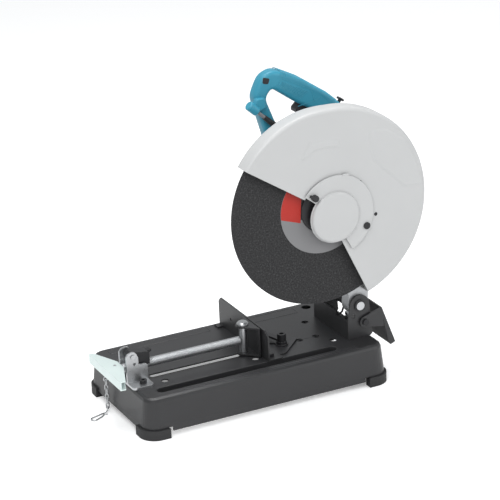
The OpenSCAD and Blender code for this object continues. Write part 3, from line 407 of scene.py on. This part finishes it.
def guard():
    hole, fillet, thick = 50.0, 7.0, 2.0
    n_ang, n_flat, n_fillet = 300, 66, 7
    bm = bmesh.new()
    rows = []
    for i in range(n_ang + 1):
        a = CUT[0] + (CUT[1] - CUT[0]) * i / n_ang
        r = ray_round(a, AXIS, GUARD_C2, GUARD_R)
        outer = []
        for k in range(n_flat + 1):
            rad = hole + (r - fillet - hole) * k / n_flat
            x, z = AXIS.x + rad * math.cos(a), AXIS.y + rad * math.sin(a)
            outer.append((x, FACE_Y + 1.5 - emboss(x, z), z))
        for k in range(1, n_fillet + 1):
            t = math.pi / 2 * k / n_fillet
            rad = r - fillet + fillet * math.sin(t)
            y = FACE_Y + 1.5 + fillet * (1 - math.cos(t))
            outer.append((AXIS.x + rad * math.cos(a), y, AXIS.y + rad * math.sin(a)))
        outer.append((AXIS.x + r * math.cos(a), BACK_Y, AXIS.y + r * math.sin(a)))
        ri = r - thick
        inner = [(AXIS.x + ri * math.cos(a), BACK_Y, AXIS.y + ri * math.sin(a)),
                 (AXIS.x + ri * math.cos(a), FACE_Y + 9, AXIS.y + ri * math.sin(a)),
                 (AXIS.x + (ri - 5) * math.cos(a), FACE_Y + 4, AXIS.y + (ri - 5) * math.sin(a)),
                 (AXIS.x + hole * math.cos(a), FACE_Y + 3.5, AXIS.y + hole * math.sin(a))]
        rows.append([bm.verts.new(Vector(p) * MM) for p in outer + inner])
    n = len(rows[0])
    for a, b in zip(rows, rows[1:]):
        for k in range(n):
            bm.faces.new((a[k], b[k], b[(k + 1) % n], a[(k + 1) % n]))
    bm.faces.new(rows[0])
    bm.faces.new(reversed(rows[-1]))
    bmesh.ops.recalc_face_normals(bm, faces=bm.faces)
    mesh = bpy.data.meshes.new("guard_shell")
    bm.to_mesh(mesh)
    bm.free()
    for poly in mesh.polygons:
        poly.use_smooth = True
    mesh.set_sharp_from_angle(angle=math.radians(50))
    obj = link("guard_shell", mesh, "head", MAT["guard_paint"])
    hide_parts("wheel_guard")
    # painted shade: black discs stand in for the two dark openings beside the cover
    for k, (x, z) in enumerate([(200, 387), (230, 321)]):
        m = lathe_y((x, z), [(0.01, FACE_Y + 1.35), (3.4, FACE_Y + 1.3), (3.5, FACE_Y + 3)], 32)
        link(f"guard_hole_{k}", m, "head", MAT["black_plastic"])


def cover():
    lo, hi = (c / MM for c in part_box("centre_cover"))
    y_back, y_front = hi.y, lo.y
    wedge = [polar(0, 0)]
    outline = []
    c = Vector((149, 335))
    apex = Vector((AXIS.x + 8, AXIS.y - 6))
    for a in range(-62, 144, 4):
        d = Vector((math.cos(math.radians(a)), math.sin(math.radians(a))))
        m = apex - c
        t = -m.dot(d) + math.sqrt(m.dot(d) ** 2 - m.length_squared + 75 ** 2)
        outline.append(tuple(apex + d * t))
    outline = [tuple(apex)] + outline
    rim = link("cover_plate", plate([outline], y_back - 2.2, y_back, 0.8), "centre_cover", MAT["guard_paint"])
    profile = [(0.01, y_front + 0.2), (30, y_front + 0.2), (41, y_front + 0.5), (44.5, y_front + 1.2),
               (46.3, y_front + 2.8), (46.9, y_front + 5), (47, y_back - 2), (48.6, y_back - 0.6), (47, y_back),
               (45, y_back), (45, y_front + 3.5), (0.01, y_front + 2.4)]
    dome = link("cover_dome", lathe_y((147, 334), profile, 128), "centre_cover", MAT["guard_paint"])
    tab = link("cover_tab", plate([[(163, 406), (177, 405), (176, 409), (164, 410)]], y_back - 2.6, y_back - 0.2, 0.7),
               "centre_cover", MAT["guard_paint"])
    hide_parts("centre_cover")


def label_print():
    """Red field and dark block on the wheel's label, with no lettering."""
    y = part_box("wheel_labels")[0].y / MM
    r = 82.6
    red = [polar(r, a) for a in range(140, 186, 4)] + [(87.5, 328.3), (90.1, 372)]
    dark = [(90.1, 372), (98, 374), (96, 350), (97, 334), (88, 334)]
    for name, shape, mat in (("label_field", red, RED), ("label_block", dark, LABEL_DARK)):
        obj = link(name, plate([shape], y - 0.12, y + 0.05, 0.02), "wheel", mat)


# ---------- handle ----------

HANDLE = [(50, 562), (60, 580), (77, 588), (94, 585), (138, 564), (187, 530), (214, 506), (236, 482), (244, 462),
          (240, 444), (224, 428), (214, 402), (206, 400), (190, 417), (166, 425), (142, 417), (126, 400), (118, 402),
          (104, 426), (72, 440), (64, 470), (43, 544)]
OPENING = [(80, 556), (70, 546), (68, 536), (84, 494), (104, 470), (150, 466), (184, 474), (174, 494), (128, 521)]


def handle():
    lo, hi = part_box("handle_near")[0] / MM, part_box("handle_far")[1] / MM
    y0, y1, seam, leg = -25.0, hi.y, -6.0, -1.0
    mesh = plate([rounded(HANDLE, 9), rounded(OPENING, 7)], y0, y1, 7.0)
    for v in mesh.vertices:
        x, y = v.co.x / MM, v.co.y / MM
        k = max(0.0, min(1.0, (x - 72) / 34))
        k = k * k * (3 - 2 * k)
        if v.co.z / MM > 455 and y > -14:
            keep = ((leg + 14) / (y1 + 14)) * (1 - k) + k
            v.co.y = (-14 + (y + 14) * keep) * MM
    body = link("handle_shell", mesh, "head", MAT["teal_plastic"])
    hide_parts("handle_near", "handle_far")
    # ribs across the top of the grip
    top = [Vector((100, 584)), Vector((138, 564.5)), Vector((187, 530.5)), Vector((205, 514.5))]
    lengths = [(b - a).length for a, b in zip(top, top[1:])]
    count = 26
    bm = bmesh.new()
    for i in range(count):
        at = sum(lengths) * i / (count - 1)
        k = 0
        while k < len(lengths) - 1 and at > lengths[k]:
            at -= lengths[k]
            k += 1
        d = (top[k + 1] - top[k]).normalized()
        n = Vector((-d.y, d.x)) if d.x > 0 else Vector((d.y, -d.x))
        p = top[k] + d * at
        arc = [(y0 - 0.35, -11.0)] + [(y0 + 6.6 - 7.1 * math.cos(t), -7.0 + 7.1 * math.sin(t))
                                   for t in (math.pi / 2 * m / 6 for m in range(7))]
        arc += [(y1 - 6.6 + 7.1 * math.sin(t), -7.0 + 7.1 * math.cos(t)) for t in (math.pi / 2 * m / 6 for m in range(7))]
        rows = []
        for y, h in arc:
            out = p + n * h
            rows.append([bm.verts.new((q.x * MM, yy * MM, q.y * MM)) for q, yy in
                         ((out - d * 1.0 - n * 0.8, y), (out - d * 0.5 + n * 0.25, y), (out + d * 0.5 + n * 0.25, y),
                          (out + d * 1.0 - n * 0.8, y))])
        for a, b in zip(rows, rows[1:]):
            for m in range(3):
                bm.faces.new((a[m], a[m + 1], b[m + 1], b[m]))
    bmesh.ops.recalc_face_normals(bm, faces=bm.faces)
    ribs = bpy.data.meshes.new("grip_ribs")
    bm.to_mesh(ribs)
    bm.free()
    for poly in ribs.polygons:
        poly.use_smooth = True
    link("grip_ribs", ribs, "head", MAT["teal_plastic"])
    # long ribs in the near side's panel
    a, b = Vector((98, 566)), Vector((149, 539))
    c, d = Vector((92, 557)), Vector((133, 530))
    for i in range(7):
        t = i / 6
        p, q = a.lerp(c, t), b.lerp(d, t)
        n = Vector((-(q - p).y, (q - p).x)).normalized() * 0.8
        link(f"side_rib_{i}", plate([[p - n, q - n, q + n, p + n]], y0 - 0.45, y0 + 0.6, 0.3), "head",
                         MAT["teal_plastic"])
    # raised lines round the panels
    for k, line in enumerate([[(88, 561), (98, 572), (154, 543), (160, 520.5), (178, 526.5), (208, 495)],
                              [(128, 516), (158, 520.5)]]):
        pts = [Vector(q) for q in line]
        for m, (p, q) in enumerate(zip(pts, pts[1:])):
            n = Vector((-(q - p).y, (q - p).x)).normalized() * 0.7
            e = (q - p).normalized() * 0.5
            link(f"panel_line_{k}_{m}", plate([[p - n - e, q - n + e, q + n + e, p + n - e]], y0 - 0.4,
                                                          y0 + 0.6, 0.3), "head", MAT["teal_plastic"])
    # ring and boss for the lead
    axis = Vector((math.sin(math.radians(132.6)), 0, math.cos(math.radians(132.6))))
    ring = Vector((44, -32, 523))
    for name, start, stop, r, bore in (("lead_ring", -22, 0, 8.5, 4.8), ("lead_boss", 68, 90, 9, 4.8)):
        tube(name, ring, axis, [(bore, stop - 4), (bore, stop), (r - 1.5, stop), (r, stop - 1.5),
                                            (r, start + 1.5), (r - 1.5, start), (0.01, start)]
                         if name == "lead_ring" else
                         [(bore, start + 4), (bore, start), (r - 1.5, start), (r, start + 1.5), (r, stop)],
                         MAT["teal_plastic"])
    link("ring_web", plate([rounded([(34, 528), (44, 520), (62, 528), (60, 546), (44, 546)], 4)], -34,
                                       y0 + 3, 2.5), "head", MAT["teal_plastic"])
    link("boss_web", plate([rounded([(98, 464), (110, 474), (126, 458), (114, 446)], 4)], -36, y0 + 3,
                                       2.5), "head", MAT["teal_plastic"])
    # painted shade: a thin black sheet stands in for the pocket round the front screw
    dark = link("screw_recess", plate([rounded([(61.7, 580), (74.5, 576), (71, 566), (60, 569)], 3)], y0 - 0.15,
                                      y0 + 0.5, 0.1), "head", MAT["black_plastic"])


def tube(name, origin, axis, profile, material, body="head", segments=48):
    """Turned shape about an axis from origin; profile is (radius, distance) in mm."""
    side = axis.orthogonal().normalized()
    up = axis.cross(side)
    bm = bmesh.new()
    rings = [[bm.verts.new((origin + axis * s + (side * math.cos(a) + up * math.sin(a)) * r) * MM)
              for a in (2 * math.pi * k / segments for k in range(segments))] for r, s in profile]
    for low, high in zip(rings, rings[1:]):
        for k in range(segments):
            bm.faces.new((low[k], low[(k + 1) % segments], high[(k + 1) % segments], high[k]))
    bmesh.ops.recalc_face_normals(bm, faces=bm.faces)
    mesh = bpy.data.meshes.new(name)
    bm.to_mesh(mesh)
    bm.free()
    for poly in mesh.polygons:
        poly.use_smooth = True
    mesh.set_sharp_from_angle(angle=math.radians(35))
    return link(name, mesh, body, material)


def strain_relief():
    axis = Vector((math.sin(math.radians(132.6)), 0, math.cos(math.radians(132.6))))
    profile = [(3.25, 18)]
    n = 12
    for k in range(n):
        for t, dip in ((0.0, 0), (0.62, 0), (0.7, 0.8), (0.92, 0.8)):
            s = 18 + (68 - 18) * (k + t) / n
            profile.append((4.2 + (6.4 - 4.2) * (s - 18) / 50 - dip, s))
    profile += [(6.4, 68), (3.3, 68)]
    obj = tube("lead_sleeve", Vector((44, -32, 523)), axis, profile, MAT["rubber"])
    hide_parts("strain_relief")


# ---------- vise screw ----------

def vise_screw():
    """Bar with a real helical thread between the crank end and the jaw pin."""
    lo, hi = (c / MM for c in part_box("vise_screw"))
    y, z = (lo.y + hi.y) / 2, (lo.z + hi.z) / 2
    r, pitch, depth, per = (hi.z - lo.z) / 2, 5.0, 1.3, 10
    x0, x1 = -240.5, -9.4
    segs = 40
    steps = int((x1 - x0) / pitch * per)
    bm = bmesh.new()

    def ring(x, radius):
        return [bm.verts.new((x * MM, (y + radius(k) * math.cos(2 * math.pi * k / segs)) * MM,
                              (z + radius(k) * math.sin(2 * math.pi * k / segs)) * MM)) for k in range(segs)]

    rings = [ring(lo.x, lambda k: 0.01), ring(lo.x, lambda k: 5.4), ring(lo.x + 1, lambda k: 6.3),
             ring(x0 - 0.2, lambda k: 6.3)]
    for i in range(steps + 1):
        x = x0 + (x1 - x0) * i / steps

        def radius(k, x=x):
            f = ((x / pitch - k / segs) * 2) % 1.0
            tooth = min(1.0, max(0.0, abs(f - 0.5) * 4 - 0.5))
            return r - depth * (1 - tooth)
        rings.append(ring(x, radius))
    rings += [ring(x1 + 0.3, lambda k: 4), ring(hi.x, lambda k: 4), ring(hi.x, lambda k: 0.01)]
    for a, b in zip(rings, rings[1:]):
        for k in range(segs):
            bm.faces.new((a[k], a[(k + 1) % segs], b[(k + 1) % segs], b[k]))
    bmesh.ops.recalc_face_normals(bm, faces=bm.faces)
    mesh = bpy.data.meshes.new("threaded_bar")
    bm.to_mesh(mesh)
    bm.free()
    for poly in mesh.polygons:
        poly.use_smooth = True
    mesh.set_sharp_from_angle(angle=math.radians(40))
    obj = link("threaded_bar", mesh, "vise_crank", MAT["zinc"])
    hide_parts("vise_screw")


# ---------- base details ----------

def ridge(name, points, closed, width, rise):
    """Pressed line on the top sheet: a flattened tube along points (x, y) in mm."""
    top = 75.0
    n = len(points)
    bm = bmesh.new()
    rows = []
    span = n if closed else n
    for k in range(span):
        a = Vector(points[(k - 1) % n] if closed or k else points[k])
        b = Vector(points[(k + 1) % n] if closed or k < n - 1 else points[k])
        d = (b - a).normalized()
        side = Vector((-d.y, d.x))
        p = Vector(points[k])
        row = []
        for m in range(9):
            t = -1 + 2 * m / 8
            q = p + side * width / 2 * t
            row.append(bm.verts.new((q.x * MM, q.y * MM, (top - 0.05 + rise * (1 - t * t)) * MM)))
        rows.append(row)
    pairs = list(zip(rows, rows[1:])) + ([(rows[-1], rows[0])] if closed else [])
    for a, b in pairs:
        for m in range(8):
            bm.faces.new((a[m], b[m], b[m + 1], a[m + 1]))
    bmesh.ops.recalc_face_normals(bm, faces=bm.faces)
    mesh = bpy.data.meshes.new(name)
    bm.to_mesh(mesh)
    bm.free()
    for poly in mesh.polygons:
        poly.use_smooth = True
    link(name, mesh, "base", MAT["black_steel"])


def base_details():
    def box_line(x0, x1, y0, y1):
        return [tuple(v) for v in rounded([(x0, y0), (x1, y0), (x1, y1), (x0, y1)], 6, 6)]
    ridge("recess_rear_a", box_line(-208, -8, 95, 114), True, 3.0, 0.7)
    ridge("recess_rear_b", box_line(57, 169, 86, 110), True, 3.0, 0.7)
    ridge("near_bead", box_line(-158, 184, -115, -108), True, 2.6, 0.7)
    ridge("index_line", [(97, -30), (149, -30)], False, 1.0, 0.3)
    ridge("slot_rim", [tuple(v) for v in rounded([(-204, -106), (152, -106), (152, -85), (-204, -85)], 9, 8)], True,
          1.6, 0.5)
    ridge("guide_rim", [tuple(v) for v in rounded([(-189, -37.5), (8, -37.5), (8, -22.5), (-189, -22.5)], 6, 8)],
          True, 1.4, 0.4)


guard()
cover()
label_print()
handle()
strain_relief()
vise_screw()
base_details()
